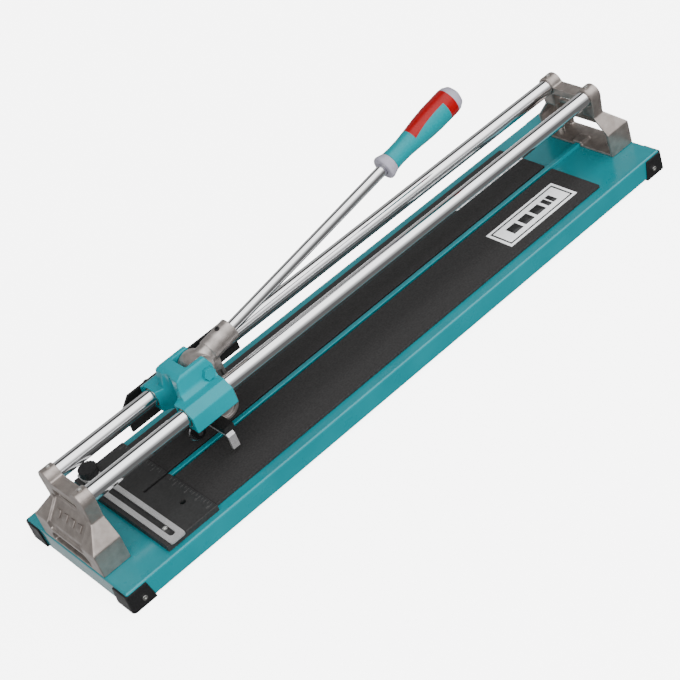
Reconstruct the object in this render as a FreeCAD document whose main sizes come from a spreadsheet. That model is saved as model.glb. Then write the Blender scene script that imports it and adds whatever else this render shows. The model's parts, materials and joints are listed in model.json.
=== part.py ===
import FreeCAD, Part
import os
import re
import Sketcher

# Manual cutter for 600 mm tiles, as separate pieces in one frame: millimetres, +Z up.
# The origin is the middle of the foot plane.  +X runs along the rails, away from the fence, and
# left is +Y.  At rest the carriage stands near the fence with its handle lowered.

# Driving sizes, each of them free to change.
SIZES = {
    # base plate, a folded sheet pan with a raised ridge under the cut
    "plate_length": 805, "plate_width": 190, "plate_z": 26, "plate_sheet": 1.5,
    "flange_lift": 2.3, "bend_radius": 2.5, "ridge_width": 6, "ridge_rise": 4,
    # corner caps and their screws
    "cap_wall": 2, "cap_reach": 30, "cap_slant": 4, "cap_drop": 2.3,
    "cap_screw_inset": 15.5, "cap_screw_z": 10, "cap_screw_shank": 3, "cap_screw_head": 6,
    "cap_screw_head_height": 1.6, "cap_screw_key": 2,
    # rails and the end brackets that hold them
    "rail_diameter": 19, "rail_wall": 1.5, "rail_y": 30, "rail_rise": 75, "socket_depth": 13,
    "bracket_inset": 1, "bracket_depth": 34.5, "arm_depth": 16, "foot_overhang": 26,
    "foot_rise": 30, "arm_overhang": 9, "arm_drop": 24.4, "boss_wall": 2.5, "bar_lift": 2.5,
    "bar_thickness": 10, "window_inset": 8, "window_height": 11.5, "casting_wall": 4,
    "panel_recess": 3, "panel_margin": 4, "arch_rise": 17, "arch_inset": 4, "arch_corner": 6,
    "floor_thickness": 3, "bolt_diameter": 6, "bolt_head": 10, "bolt_head_height": 4,
    "bolt_key": 4, "bolt_overhang": 10, "nut_width": 10, "nut_height": 5, "thread_end": 2,
    "set_screw_diameter": 5, "set_screw_key": 2.5, "set_screw_key_depth": 1.5,
    "set_screw_lift": 0.8, "ridge_gap": 0.2,
    # fence, its slotted rail and the knob that clamps the rail
    "fence_gap": 27, "fence_width": 67, "fence_side_gap": 8, "fence_thickness": 7,
    "fence_hole_inset": 18, "fence_hole_y": 50, "fence_hole_diameter": 7,
    "fence_screw_inset": 12, "fence_screw_side_gap": 17, "fence_screw_head_height": 3,
    "fence_screw_key": 3, "fence_skin": 1.5, "fence_floor": 1, "groove_depth": 3,
    "slot_rail_inset": 14.5, "slot_rail_width": 19, "slot_rail_thickness": 2,
    "slot_rail_overhang": 2, "slot_rail_seat": 0.8, "slot_rail_gap": 0.2, "slot_end": 9, "knob_inset": 15,
    "guide_pin_inset": 22, "guide_pin_lift": 0.6, "stud_diameter": 6, "washer_rim": 5,
    "washer_thickness": 1, "knob_diameter": 22, "knob_height": 12, "knob_roof": 1.5,
    "flute_radius": 1.2, "flute_depth": 0.6,
    # pads and the size label on the right pad
    "pad_ridge_gap": 3, "pad_side_gap": 14, "pad_thickness": 3.5, "pad_end_gap": 51,
    "pad_gap": 1, "label_inset": 78, "label_side_gap": 14.5, "label_length": 110,
    "label_width": 41, "label_thickness": 0.3,
    # carriage
    "park_gap": 31, "carriage_length": 55, "bush_wall": 1.2, "bush_length": 14,
    "bush_inset": 1, "sleeve_side": 4.8, "sleeve_floor": 4.3, "sleeve_roof": 1.8,
    "sleeve_inner": 2.3, "side_lift": 5, "shelf_edge": 5, "cheek_wall": 7.5, "cheek_gap": 0.6,
    "cheek_lift": 17, "nose_set": 9, "nose_drop": 5, "nose_length": 9, "turret_lift": 8,
    "turret_back": 9, "cheek_flare": 5, "cheek_round": 2,
    "left_sleeve_extra": 4.5, "valley_set": 3,
    # lever and handle
    "pivot_set": 47, "pivot_lift": 7.5, "pivot_diameter": 8, "pivot_head_rim": 2.5,
    "pivot_head_height": 5, "pivot_nut_height": 6, "hub_bush_wall": 2,
    "hub_wall": 9.6, "hub_half_width": 11.9,
    "handle_angle": 10, "handle_lift": 2.1, "socket_radius": 12.5, "socket_neck": 11.3,
    "socket_start": 20, "socket_reach": 54, "rod_diameter": 13, "rod_seat": 26,
    "arm_half_thickness": 8, "arm_back": 7, "arm_width": 32, "arm_length": 62,
    "arm_web_depth": 3, "arm_rim": 4, "toe_set": 17, "toe_drop": 59, "toe_height": 18,
    "grip_start": 296, "collar_length": 12, "grip_length": 97, "grip_cap_length": 14,
    "collar_radius": 14.3, "grip_neck_radius": 11.8, "grip_radius": 16, "rod_in_grip": 72,
    "inlay_depth": 1.2, "inlay_turn": 171, "inlay_half_width": 12, "inlay_lead": 35,
    "inlay_band": 12,
    # cutting wheel and its holder
    "wheel_set": 12, "wheel_drop": 10, "wheel_diameter": 22, "wheel_thickness": 2,
    "wheel_bevel": 1.2, "wheel_bore": 6, "wheel_side_gap": 0.15, "holder_half_width": 6,
    "holder_radius": 7, "holder_screw_set": 10, "holder_screw_diameter": 5,
    "holder_screw_head": 8.5, "holder_screw_head_height": 4.5, "holder_screw_key": 4,
    "holder_counterbore": 5, "holder_screw_grip": 10,
    # breaker foot
    "foot_bar_width": 13, "foot_bar_height": 7, "foot_bar_end": 3, "foot_crown_half": 40,
    "foot_lean": 0.5, "foot_depth": 26.5, "foot_strip_width": 9,
    "foot_strip_thickness": 3, "foot_bend": 3, "foot_screw_diameter": 4, "foot_screw_head": 7,
    "foot_screw_head_height": 2.4, "foot_screw_key": 2.5, "foot_screw_grip": 5,
    # side guard beyond the left rail
    "spacer_length": 4, "spacer_diameter": 10, "guard_thickness": 3, "guard_lead": 26,
    "guard_length": 152, "guard_drop": 41, "guard_height": 43, "guard_corner": 12,
    "guard_screw_inset": 11, "guard_screw_pitch": 32, "guard_screw_drop": 3,
    "guard_screw_diameter": 4, "guard_screw_head": 9, "guard_screw_head_height": 2.2,
    "guard_screw_key": 2.5, "guard_screw_grip": 4,
    # clearances
    "fit_gap": 0.05, "running_gap": 0.06, "seat_gap": 0.05, "swing_gap": 1,
}

# What follows from them.  A name ending in _x or _y is a place in the frame, _z a height above
# the foot plane and _rise a height above the plate; the others are sizes.
DERIVED = {
    "half_length": "plate_length / 2",
    "half_width": "plate_width / 2",
    "cap_screw_x": "half_length - cap_screw_inset",
    "bracket_inner_x": "plate_length / 2 - bracket_inset - bracket_depth",
    "bolt_x": "bracket_inner_x + (bracket_depth - casting_wall) / 2",
    "bolt_y": "rail_y + bolt_overhang",
    "foot_half_width": "rail_y + foot_overhang",
    "arm_half_width": "rail_y + arm_overhang",
    "arm_rise": "rail_rise - arm_drop",
    "rail_z": "plate_z + rail_rise",
    "boss_radius": "rail_diameter / 2 + boss_wall",
    "bar_rise": "rail_rise + bar_lift",
    "window_half_width": "rail_y - window_inset",
    "window_high_rise": "bar_rise - bar_thickness",
    "window_low_rise": "window_high_rise - window_height",
    "fence_near_x": "fence_gap - bracket_inner_x",
    "fence_far_x": "fence_near_x + fence_width",
    "fence_half_width": "plate_width / 2 - fence_side_gap",
    "fence_hole_x": "fence_far_x - fence_hole_inset",
    "fence_screw_x": "fence_far_x - fence_screw_inset",
    "fence_screw_y": "fence_half_width - fence_screw_side_gap",
    "slot_rail_x": "fence_near_x + slot_rail_inset",
    "slot_rail_half_length": "fence_half_width + slot_rail_overhang",
    "slot_half_length": "slot_rail_half_length - slot_end",
    "slot_width": "stud_diameter + swing_gap",
    "slot_rail_low_z": "plate_z + fence_thickness - slot_rail_seat + seat_gap",
    "slot_rail_high_z": "slot_rail_low_z + slot_rail_thickness",
    "knob_y": "fence_half_width - knob_inset",
    "guide_pin_y": "guide_pin_inset - fence_half_width",
    "washer_diameter": "stud_diameter + 2 * washer_rim",
    "knob_z": "slot_rail_high_z + washer_thickness + 2 * seat_gap",
    "pad_inner_y": "ridge_width / 2 + pad_ridge_gap",
    "pad_outer_y": "plate_width / 2 - pad_side_gap",
    "pad_far_x": "bracket_inner_x - pad_end_gap",
    "label_x": "pad_far_x - label_inset",
    "label_y": "label_side_gap + label_width / 2 - pad_outer_y",
    "carriage_near_x": "fence_far_x + park_gap",
    "carriage_far_x": "carriage_near_x + carriage_length",
    "bush_radius": "rail_diameter / 2 + bush_wall",
    "carriage_half_width": "rail_y + bush_radius + sleeve_side",
    "carriage_low_z": "rail_z - bush_radius - sleeve_floor",
    "shelf_z": "rail_z + bush_radius + sleeve_roof",
    "shelf_edge_y": "rail_y + shelf_edge",
    "sleeve_inner_y": "rail_y - bush_radius - sleeve_inner",
    "cheek_inner_y": "hub_half_width + cheek_gap",
    "cheek_outer_y": "cheek_inner_y + cheek_wall",
    "cheek_z": "pivot_z + cheek_lift",
    "nose_x": "carriage_near_x + nose_set",
    "pivot_x": "carriage_near_x + pivot_set",
    "pivot_z": "shelf_z + pivot_lift",
    "pivot_head_width": "pivot_diameter + 2 * pivot_head_rim",
    "hub_bush_radius": "pivot_diameter / 2 + hub_bush_wall",
    "hub_radius": "hub_bush_radius + hub_wall",
    "pocket_x": "pivot_x - hub_radius - swing_gap",
    "arm_near_x": "pivot_x - arm_back",
    "arm_far_x": "arm_near_x + arm_width",
    "arm_middle_x": "arm_near_x + arm_width / 2",
    "arm_low_z": "pivot_z - arm_length",
    "toe_x": "pivot_x - toe_set",
    "toe_low_z": "pivot_z - toe_drop",
    "toe_high_z": "toe_low_z + toe_height",
    "grip_body_start": "grip_start + collar_length",
    "wheel_x": "toe_x - wheel_set",
    "wheel_z": "toe_low_z - wheel_drop",
    "holder_near_x": "wheel_x - holder_radius",
    "holder_seat_x": "holder_near_x + holder_counterbore",
    "holder_screw_z": "toe_low_z + holder_screw_set",
    "foot_x": "toe_x + foot_strip_width / 2",
    "foot_half_span": "foot_crown_half + foot_lean",
    "foot_bar_high_z": "toe_low_z - seat_gap",
    "foot_bar_low_z": "foot_bar_high_z - foot_bar_height",
    "foot_crown_z": "foot_bar_low_z - seat_gap",
    "foot_low_z": "toe_low_z - foot_depth",
    "left_sleeve_y": "carriage_half_width + left_sleeve_extra",
    "guard_y": "left_sleeve_y + spacer_length",
    "guard_near_x": "carriage_near_x - guard_lead",
    "guard_far_x": "guard_near_x + guard_length",
    "guard_low_z": "rail_z - guard_drop",
    "guard_high_z": "guard_low_z + guard_height",
    "guard_screw_z": "rail_z - guard_screw_drop",
}

X_AXIS = FreeCAD.Vector(1, 0, 0)
Y_AXIS = FreeCAD.Vector(0, 1, 0)
Z_AXIS = FreeCAD.Vector(0, 0, 1)

doc = FreeCAD.newDocument("tile_cutter")
sheet = doc.addObject("Spreadsheet::Sheet", "Sizes")
for row, (alias, size) in enumerate(SIZES.items(), start=1):
    sheet.set("A%d" % row, alias)
    sheet.set("B%d" % row, str(size))
    sheet.setAlias("B%d" % row, alias)
doc.recompute()

nodes = []


def cells(expression):
    """The expression with derived names worked out and sizes written as references to cells."""
    def reference(word):
        name = word.group()
        if name in DERIVED:
            return "(%s)" % cells(DERIVED[name])
        return "Sizes." + name if name in SIZES else name
    return re.sub(r"[a-z]\w*", reference, str(expression))


def number(expression):
    """What the expression comes to with the present sizes."""
    return float(sheet.evalExpression(cells(expression)))


def bind(item, **sizes):
    """Tie each named property of the item to an expression."""
    for name, expression in sizes.items():
        item.setExpression(name, cells(expression))
    return item


def place(item, x=0, y=0, z=0, axis=Z_AXIS, angle=0):
    """Turn the item about the axis and tie its angle and position to expressions."""
    item.Placement = FreeCAD.Placement(FreeCAD.Vector(), FreeCAD.Rotation(axis, number(angle)))
    for name, expression in (("x", x), ("y", y), ("z", z)):
        item.setExpression("Placement.Base." + name, cells(expression))
    if angle:
        item.setExpression("Placement.Rotation.Angle", cells(angle))
    return item


def node(label, item):
    """Make the item one of the cutter's pieces, under its own label."""
    item.Label = label
    nodes.append(item)
    return item


# Sketched bodies

def pin(sketch, geometry, point, u, v):
    """Hold a point of the sketch at the expressions u and v from the sketch's origin."""
    for kind, expression in (("DistanceX", u), ("DistanceY", v)):
        value = number(expression)
        held = sketch.addConstraint(Sketcher.Constraint(kind, -1, 1, geometry, point, value))
        if re.search("[a-z]", str(expression)):
            sketch.setExpression("Constraints[%d]" % held, cells(expression))


def draw(body, name, plane, start, outlines, circles):
    """A sketch on the body's own origin plane, moved to the start along the plane's axis.

    An outline is a list of points (u, v): x, y on XY, x, z on XZ and y, z on YZ."""
    sketch = body.newObject("Sketcher::SketchObject", name)
    features = body.Origin.OriginFeatures
    support = next(item for item in features if item.Role == plane + "_Plane")
    sketch.AttachmentSupport = [(support, "")]
    sketch.MapMode = "FlatFace"
    bind(sketch, **{"AttachmentOffset.Base.z": "-(%s)" % start if plane == "XZ" else start})
    for points in outlines:
        first = sketch.GeometryCount
        corners = [FreeCAD.Vector(number(u), number(v), 0) for u, v in points]
        for corner, following in zip(corners, corners[1:] + corners[:1]):
            sketch.addGeometry(Part.LineSegment(corner, following), False)
        for index, (u, v) in enumerate(points):
            after = first + (index + 1) % len(points)
            sketch.addConstraint(Sketcher.Constraint("Coincident", first + index, 2, after, 1))
            pin(sketch, first + index, 1, u, v)
    for u, v, radius in circles:
        middle = FreeCAD.Vector(number(u), number(v), 0)
        ring = sketch.addGeometry(Part.Circle(middle, Z_AXIS, number(radius)), False)
        held = sketch.addConstraint(Sketcher.Constraint("Radius", ring, number(radius)))
        sketch.setExpression("Constraints[%d]" % held, cells(radius))
        pin(sketch, ring, 3, u, v)
    return sketch


def extrude(body, kind, name, plane, low, high, outlines=(), circles=()):
    """Pad or pocket the outlines from low to high along the plane's axis."""
    start = high if plane == "XZ" else low
    sketch = draw(body, name + "_sketch", plane, start, outlines, circles)
    volume = body.Shape.Volume if kind == "Pocket" else None
    feature = body.newObject("PartDesign::" + kind, name)
    feature.Profile = sketch
    feature.Reversed = kind == "Pocket"
    bind(feature, Length="(%s) - (%s)" % (high, low))
    doc.recompute()
    if volume is not None and body.Shape.Volume >= volume - 1e-3:
        raise RuntimeError(name + " cuts nothing")
    return feature


def prism(name, plane, low, high, outlines=(), circles=()):
    """A body that is one extruded outline."""
    body = doc.addObject("PartDesign::Body", name)
    extrude(body, "Pad", name + "_pad", plane, low, high, outlines, circles)
    return body


def revolve(name, points):
    """A body turned about its own Z axis from an outline of (radius, height) points."""
    body = doc.addObject("PartDesign::Body", name)
    feature_sketch = draw(body, name + "_sketch", "XZ", 0, [points], ())
    feature = body.newObject("PartDesign::Revolution", name + "_turn")
    feature.Profile = feature_sketch
    feature.ReferenceAxis = (feature_sketch, ["V_Axis"])
    feature.Angle = 360
    doc.recompute()
    return body


def fillet(body, name, radius, wanted):
    """Round the edges of the body's present shape that the test picks."""
    base = body.Tip
    picked = ["Edge%d" % (index + 1) for index, edge in enumerate(base.Shape.Edges)
              if wanted(edge)]
    feature = body.newObject("PartDesign::Fillet", name)
    feature.Base = (base, picked)
    bind(feature, Radius=radius)
    doc.recompute()
    return feature


def upright(edge):
    """Whether the edge is straight and runs up and down."""
    ends = edge.Vertexes
    return len(ends) == 2 and abs(ends[0].Z - ends[1].Z) > 0.9 * edge.Length


def at_height(expression):
    """A test for edges that lie level at a height."""
    height = number(expression)
    return lambda edge: (abs(edge.BoundBox.ZMin - height) < 1e-4
                         and abs(edge.BoundBox.ZMax - height) < 1e-4)


# Simple solids and how they are joined

def rectangle(u_low, u_high, v_low, v_high):
    return [(u_low, v_low), (u_high, v_low), (u_high, v_high), (u_low, v_high)]


def box(name, x, y, z):
    """A box between the (low, high) expressions of each axis."""
    item = doc.addObject("Part::Box", name)
    bind(item, Length="(%s) - (%s)" % (x[1], x[0]), Width="(%s) - (%s)" % (y[1], y[0]),
         Height="(%s) - (%s)" % (z[1], z[0]))
    return place(item, x[0], y[0], z[0])


def cylinder(name, radius, length, x=0, y=0, z=0, along="Z"):
    """A cylinder that starts at the point and runs along +X, +Y or +Z."""
    item = doc.addObject("Part::Cylinder", name)
    bind(item, Radius=radius, Height=length)
    axis, angle = {"X": (Y_AXIS, 90), "Y": (X_AXIS, -90), "Z": (Z_AXIS, 0)}[along]
    return place(item, x, y, z, axis, angle)


def hexagon(name, width, length, z=0):
    """A hexagonal prism by its width across flats, from the height z upwards."""
    item = doc.addObject("Part::Prism", name)
    item.Polygon = 6
    bind(item, Circumradius="(%s) / sqrt(3)" % width, Height=length)
    return place(item, z=z)


def fuse(name, *items):
    item = doc.addObject("Part::MultiFuse", name)
    item.Shapes = list(items)
    item.Refine = True
    return item


def common(name, *items):
    item = doc.addObject("Part::MultiCommon", name)
    item.Shapes = list(items)
    return item


def cut(name, base, *tools):
    item = doc.addObject("Part::Cut", name)
    item.Base = base
    item.Tool = tools[0] if len(tools) == 1 else fuse(name + "_tools", *tools)
    item.Refine = True
    return item


def group(label, items):
    """Identical pieces that stay separate solids in one node."""
    item = doc.addObject("Part::Compound", label)
    item.Links = list(items)
    return node(label, item)


def screw(name, head, head_height, shank, length, key):
    """A round-headed screw seated at the origin: head above, shank below, hexagon socket."""
    solid = fuse(name + "_solid",
                 cylinder(name + "_head", "%s / 2" % head, head_height),
                 cylinder(name + "_shank", "%s / 2" % shank, length, z="-(%s)" % length))
    socket = hexagon(name + "_socket", key, head_height, head_height + " / 2")
    return cut(name + "_cut", solid, socket)


# Base plate, caps and their screws

KNOB_FLUTES = 16
CLAMP_ALONG = "socket_reach - rod_seat / 2"
GUARD_SCREWS = [("far", "carriage_far_x - guard_screw_inset"),
                ("near", "carriage_far_x - guard_screw_inset - guard_screw_pitch")]
CORNERS = [("fence_right", -1, -1), ("fence_left", -1, 1), ("far_right", 1, -1),
           ("far_left", 1, 1)]


def base_plate():
    """Folded pan, hollow below, with the ridge pressed up along the line of the cut."""
    body = doc.addObject("PartDesign::Body", "base_plate")
    outer = rectangle("-half_length", "half_length", "-half_width", "half_width")
    extrude(body, "Pad", "pan", "XY", "flange_lift", "plate_z", [outer])
    fillet(body, "corner_bends", "bend_radius", upright)
    fillet(body, "top_bends", "bend_radius", at_height("plate_z"))
    inner = rectangle("plate_sheet - half_length", "half_length - plate_sheet",
                      "plate_sheet - half_width", "half_width - plate_sheet")
    extrude(body, "Pocket", "pan_inside", "XY", "flange_lift", "plate_z - plate_sheet", [inner])
    ridge = rectangle("fence_far_x + seat_gap", "bracket_inner_x + arm_depth / 2",
                      "-ridge_width / 2", "ridge_width / 2")
    extrude(body, "Pad", "ridge", "XY", "plate_z - plate_sheet / 2", "plate_z + ridge_rise",
            [ridge])
    hollow = rectangle("fence_far_x + seat_gap + plate_sheet",
                       "bracket_inner_x + arm_depth / 2 - plate_sheet",
                       "-(ridge_width / 2 - plate_sheet)", "ridge_width / 2 - plate_sheet")
    extrude(body, "Pocket", "ridge_inside", "XY", "plate_z - plate_sheet",
            "plate_z + ridge_rise - plate_sheet", [hollow])
    fillet(body, "ridge_rounding", "plate_sheet / 2", at_height("plate_z + ridge_rise"))
    bolts = [("%d * bolt_x" % end, "%d * bolt_y" % side, "bolt_diameter / 2 + fit_gap")
             for end in (-1, 1) for side in (-1, 1)]
    screws = [("fence_screw_x", "%d * fence_screw_y" % side,
               "bolt_diameter / 2 + fit_gap") for side in (-1, 1)]
    extrude(body, "Pocket", "bolt_holes", "XY", "flange_lift", "plate_z", circles=bolts + screws)
    cap_holes = [("%d * cap_screw_x" % end, "cap_screw_z",
                  "cap_screw_shank / 2 + fit_gap") for end in (-1, 1)]
    extrude(body, "Pocket", "cap_screw_holes", "XZ", "-half_width", "half_width",
            circles=cap_holes)
    return node("base_plate", body)


def corner_cap(label, end, side):
    """Rubber cap that wraps one corner of the pan and carries it off the bench."""
    name = "corner_cap_" + label
    corner_x = "%d * (half_length + cap_wall)" % end
    corner_y = "%d * (half_width + cap_wall)" % side
    top = "plate_z - cap_drop"
    x_range = (corner_x, "%s - %d * cap_reach" % (corner_x, end))[::-end]
    y_range = (corner_y, "%s - %d * cap_reach" % (corner_y, side))[::-side]
    body = doc.addObject("PartDesign::Body", name)
    extrude(body, "Pad", name + "_block", "XY", 0, top, [rectangle(*x_range, *y_range)])
    fillet(body, name + "_corner", "bend_radius + cap_wall", lambda edge: upright(edge)
           and abs(edge.Vertexes[0].X - number(corner_x)) < 1e-4
           and abs(edge.Vertexes[0].Y - number(corner_y)) < 1e-4)
    inside_x = ("%d * half_length" % end, "%s - %d * (cap_reach + 1)" % (corner_x, end))
    inside_y = ("%d * half_width" % side, "%s - %d * (cap_reach + 1)" % (corner_y, side))
    room = rectangle(*inside_x[::-end], *inside_y[::-side])
    extrude(body, "Pocket", name + "_room", "XY", "flange_lift", top, [room])
    fillet(body, name + "_bend", "bend_radius", lambda edge: upright(edge)
           and abs(edge.Vertexes[0].X - number(inside_x[0])) < 1e-4
           and abs(edge.Vertexes[0].Y - number(inside_y[0])) < 1e-4)
    for corner, way, plane, span in ((corner_x, end, "XZ", y_range),
                                     (corner_y, side, "YZ", x_range)):
        tip = "%s - %d * cap_reach" % (corner, way)
        slant = [(tip, "flange_lift"), ("%s + %d * cap_slant" % (tip, way), top), (tip, top)]
        extrude(body, "Pocket", "%s_slant_%s" % (name, plane.lower()), plane, *span, [slant])
    hole = ("%d * cap_screw_x" % end, "cap_screw_z",
            "cap_screw_shank / 2 + fit_gap")
    extrude(body, "Pocket", name + "_hole", "XZ", *y_range, circles=[hole])
    return node(name, body)


def cap_screws():
    """Pan-head screws that hold the caps to the long flanges."""
    screws = []
    for label, end, side in CORNERS:
        item = screw("cap_screw_" + label, "cap_screw_head", "cap_screw_head_height",
                     "cap_screw_shank", "cap_wall + plate_sheet + thread_end", "cap_screw_key")
        screws.append(place(item, "%d * cap_screw_x" % end, "%d * (half_width + cap_wall)" % side,
                            "cap_screw_z", X_AXIS, -90 * side))
    return group("cap_screws", screws)


# End brackets, rails and their fasteners

def bracket(label, end):
    """Die-cast end bracket: two splayed arms, a bar between them and a hollow flared foot."""
    name = label + "_bracket"

    def depth(amount):
        """The X place at a depth behind the bracket's inner face."""
        return "%d * (bracket_inner_x + %s)" % (end, amount)

    def span(low, high):
        """The X range between two depths."""
        return (depth(low), depth(high))[::end]

    def height(rise):
        return "plate_z + %s" % rise

    def side_view(inset, foot_depth, foot):
        """The foot seen along Y: upright, then leaning in to the arms."""
        back, neck = "bracket_depth - (%s)" % inset, "arm_depth - (%s)" % inset
        return [(depth(foot_depth), height(foot)), (depth(back), height(foot)),
                (depth(back), height("foot_rise")), (depth(neck), height("arm_rise")),
                (depth(foot_depth), height("arm_rise"))]

    def end_view(inset, foot):
        """The foot seen along X: upright, then leaning in to the arms."""
        left = [("foot_half_width - " + inset, height(foot)),
                ("foot_half_width - " + inset, height("foot_rise")),
                ("arm_half_width - " + inset, height("arm_rise"))]
        return left + [("-(%s)" % y, z) for y, z in reversed(left)]

    def slab(suffix, side_points, half_width):
        """A solid with an outline seen along Y, centred across the bracket."""
        return prism(name + suffix, "XZ", "-" + half_width, half_width, [side_points])

    foot = common(name + "_foot",
                  prism(name + "_foot_end", "YZ", *span("0", "bracket_depth"),
                        [end_view("0", "0")]),
                  slab("_foot_side", side_view("0", "0", "0"), "foot_half_width"))
    left_arm = [("arm_half_width", height("foot_rise")), ("arm_half_width", height("arm_rise")),
                ("rail_y + boss_radius", height("rail_rise")),
                ("rail_y", height("rail_rise + boss_radius")),
                ("rail_y - boss_radius", height("bar_rise"))]
    arms = left_arm + [("-(%s)" % y, z) for y, z in reversed(left_arm)]
    plate = prism(name + "_arms", "YZ", *span("0", "arm_depth"), [arms])
    bosses = [prism("%s_boss_%s" % (name, side), "YZ", *span("0", "arm_depth"),
                    circles=[(y, height("rail_rise"), "boss_radius")])
              for side, y in (("left", "rail_y"), ("right", "-rail_y"))]
    solid = fuse(name + "_solid", foot, plate, *bosses)

    skin = "casting_wall + panel_recess"
    cavity = common(name + "_cavity",
                    prism(name + "_cavity_end", "YZ", *span("-1", "bracket_depth"),
                          [end_view("casting_wall", "floor_thickness")]),
                    slab("_cavity_side", side_view(skin, "-1", "floor_thickness"),
                         "foot_half_width"))
    across = ("-window_half_width", "window_half_width")
    upper_room = box(name + "_upper_room", span("-1", "arm_depth - (%s)" % skin), across,
                     (height("arm_rise - 1"), height("window_high_rise")))
    window = box(name + "_window", span("-1", "bracket_depth"), across,
                 (height("window_low_rise"), height("window_high_rise")))
    arch_half = "arm_half_width - arch_inset"
    left_arch = [(arch_half, height("floor_thickness")),
                 (arch_half, height("arch_rise - arch_corner")),
                 (arch_half + " - arch_corner", height("arch_rise"))]
    arch = prism(name + "_arch", "YZ", *span("arm_depth", "bracket_depth + 1"),
                 [left_arch + [("-(%s)" % y, z) for y, z in reversed(left_arch)]])
    outside, face, neck = "bracket_depth + 1", "bracket_depth - panel_recess", \
        "arm_depth - panel_recess"
    recess = slab("_recess", [(depth(face), height("arch_rise + panel_margin")),
                              (depth(outside), height("arch_rise + panel_margin")),
                              (depth(outside), height("window_low_rise + 1")),
                              (depth(neck), height("window_low_rise + 1")),
                              (depth(neck), height("arm_rise")),
                              (depth(face), height("foot_rise"))],
                  "(arm_half_width - 2 * panel_margin)")
    shell = cut(name + "_shell", solid, cavity, upper_room, window, arch, recess)
    ridge_cover = box(name + "_ridge_cover", span("0", "arm_depth"),
                      ("-ridge_width / 2 - casting_wall", "ridge_width / 2 + casting_wall"),
                      (height("0"), height("ridge_rise + floor_thickness")))
    ridge_notch = box(name + "_ridge_notch", span("-1", "arm_depth / 2 + swing_gap"),
                      ("-ridge_width / 2 - ridge_gap", "ridge_width / 2 + ridge_gap"),
                      (height("-1"), height("ridge_rise + ridge_gap")))
    holes = [ridge_notch]
    for side, way in (("left", 1), ("right", -1)):
        tag = "%s_%s" % (name, side)
        holes.append(cylinder(tag + "_rail_bore", "rail_diameter / 2 + fit_gap",
                              "socket_depth + 1", span("-1", "socket_depth")[0],
                              "%d * rail_y" % way, "rail_z", "X"))
        holes.append(cylinder(tag + "_screw_hole", "set_screw_diameter / 2 + fit_gap",
                              "boss_radius + 1", depth("socket_depth / 2"),
                              "%d * rail_y" % way, "rail_z"))
        holes.append(cylinder(tag + "_bolt_hole", "bolt_diameter / 2 + fit_gap",
                              "floor_thickness + 2", "%d * bolt_x" % end,
                              "%d * bolt_y" % way, height("-1")))
    return node(name, cut(name, fuse(name + "_covered", shell, ridge_cover), *holes))


def rail(label, side):
    """Chromed steel tube whose ends seat in the brackets' bosses."""
    half = "(bracket_inner_x + socket_depth - 2 * fit_gap)"
    y = "%d * rail_y" % side
    outside = cylinder(label + "_rail_outside", "rail_diameter / 2", "2 * " + half, "-" + half, y,
                       "rail_z", "X")
    inside = cylinder(label + "_rail_inside", "rail_diameter / 2 - rail_wall",
                      "2 * %s + 2" % half, "-%s - 1" % half, y, "rail_z", "X")
    return node(label + "_rail", cut(label + "_rail", outside, inside))


def rail_set_screws():
    """Socket set screws down through the bosses onto the rails."""
    screws = []
    length = "(boss_radius + 1 - rail_diameter / 2)"
    for label, end, side in CORNERS:
        name = "set_screw_" + label
        body = cylinder(name + "_body", "set_screw_diameter / 2", length)
        socket = hexagon(name + "_socket", "set_screw_key", "set_screw_key_depth + 1",
                         length + " - set_screw_key_depth")
        screws.append(place(cut(name, body, socket),
                            "%d * (bracket_inner_x + socket_depth / 2)" % end,
                            "%d * rail_y" % side, "rail_z + rail_diameter / 2 + seat_gap"))
    return group("rail_set_screws", screws)


def bracket_bolts():
    """Button-head bolts down through the brackets' floors and the plate."""
    bolts = []
    for label, end, side in CORNERS:
        item = screw("bracket_bolt_" + label, "bolt_head", "bolt_head_height", "bolt_diameter",
                     "floor_thickness + plate_sheet + nut_height + thread_end", "bolt_key")
        bolts.append(place(item, "%d * bolt_x" % end, "%d * bolt_y" % side,
                           "plate_z + floor_thickness"))
    return group("bracket_bolts", bolts)


def bracket_nuts():
    """Hexagon nuts under the plate."""
    nuts = []
    for label, end, side in CORNERS:
        name = "bracket_nut_" + label
        body = hexagon(name + "_body", "nut_width", "nut_height")
        bore = cylinder(name + "_bore", "bolt_diameter / 2 + fit_gap", "nut_height + 2", z=-1)
        nuts.append(place(cut(name, body, bore), "%d * bolt_x" % end, "%d * bolt_y" % side,
                          "plate_z - plate_sheet - nut_height"))
    return group("bracket_nuts", nuts)


# Fence, the slotted rail on it and the parts that guide and clamp the rail

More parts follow.
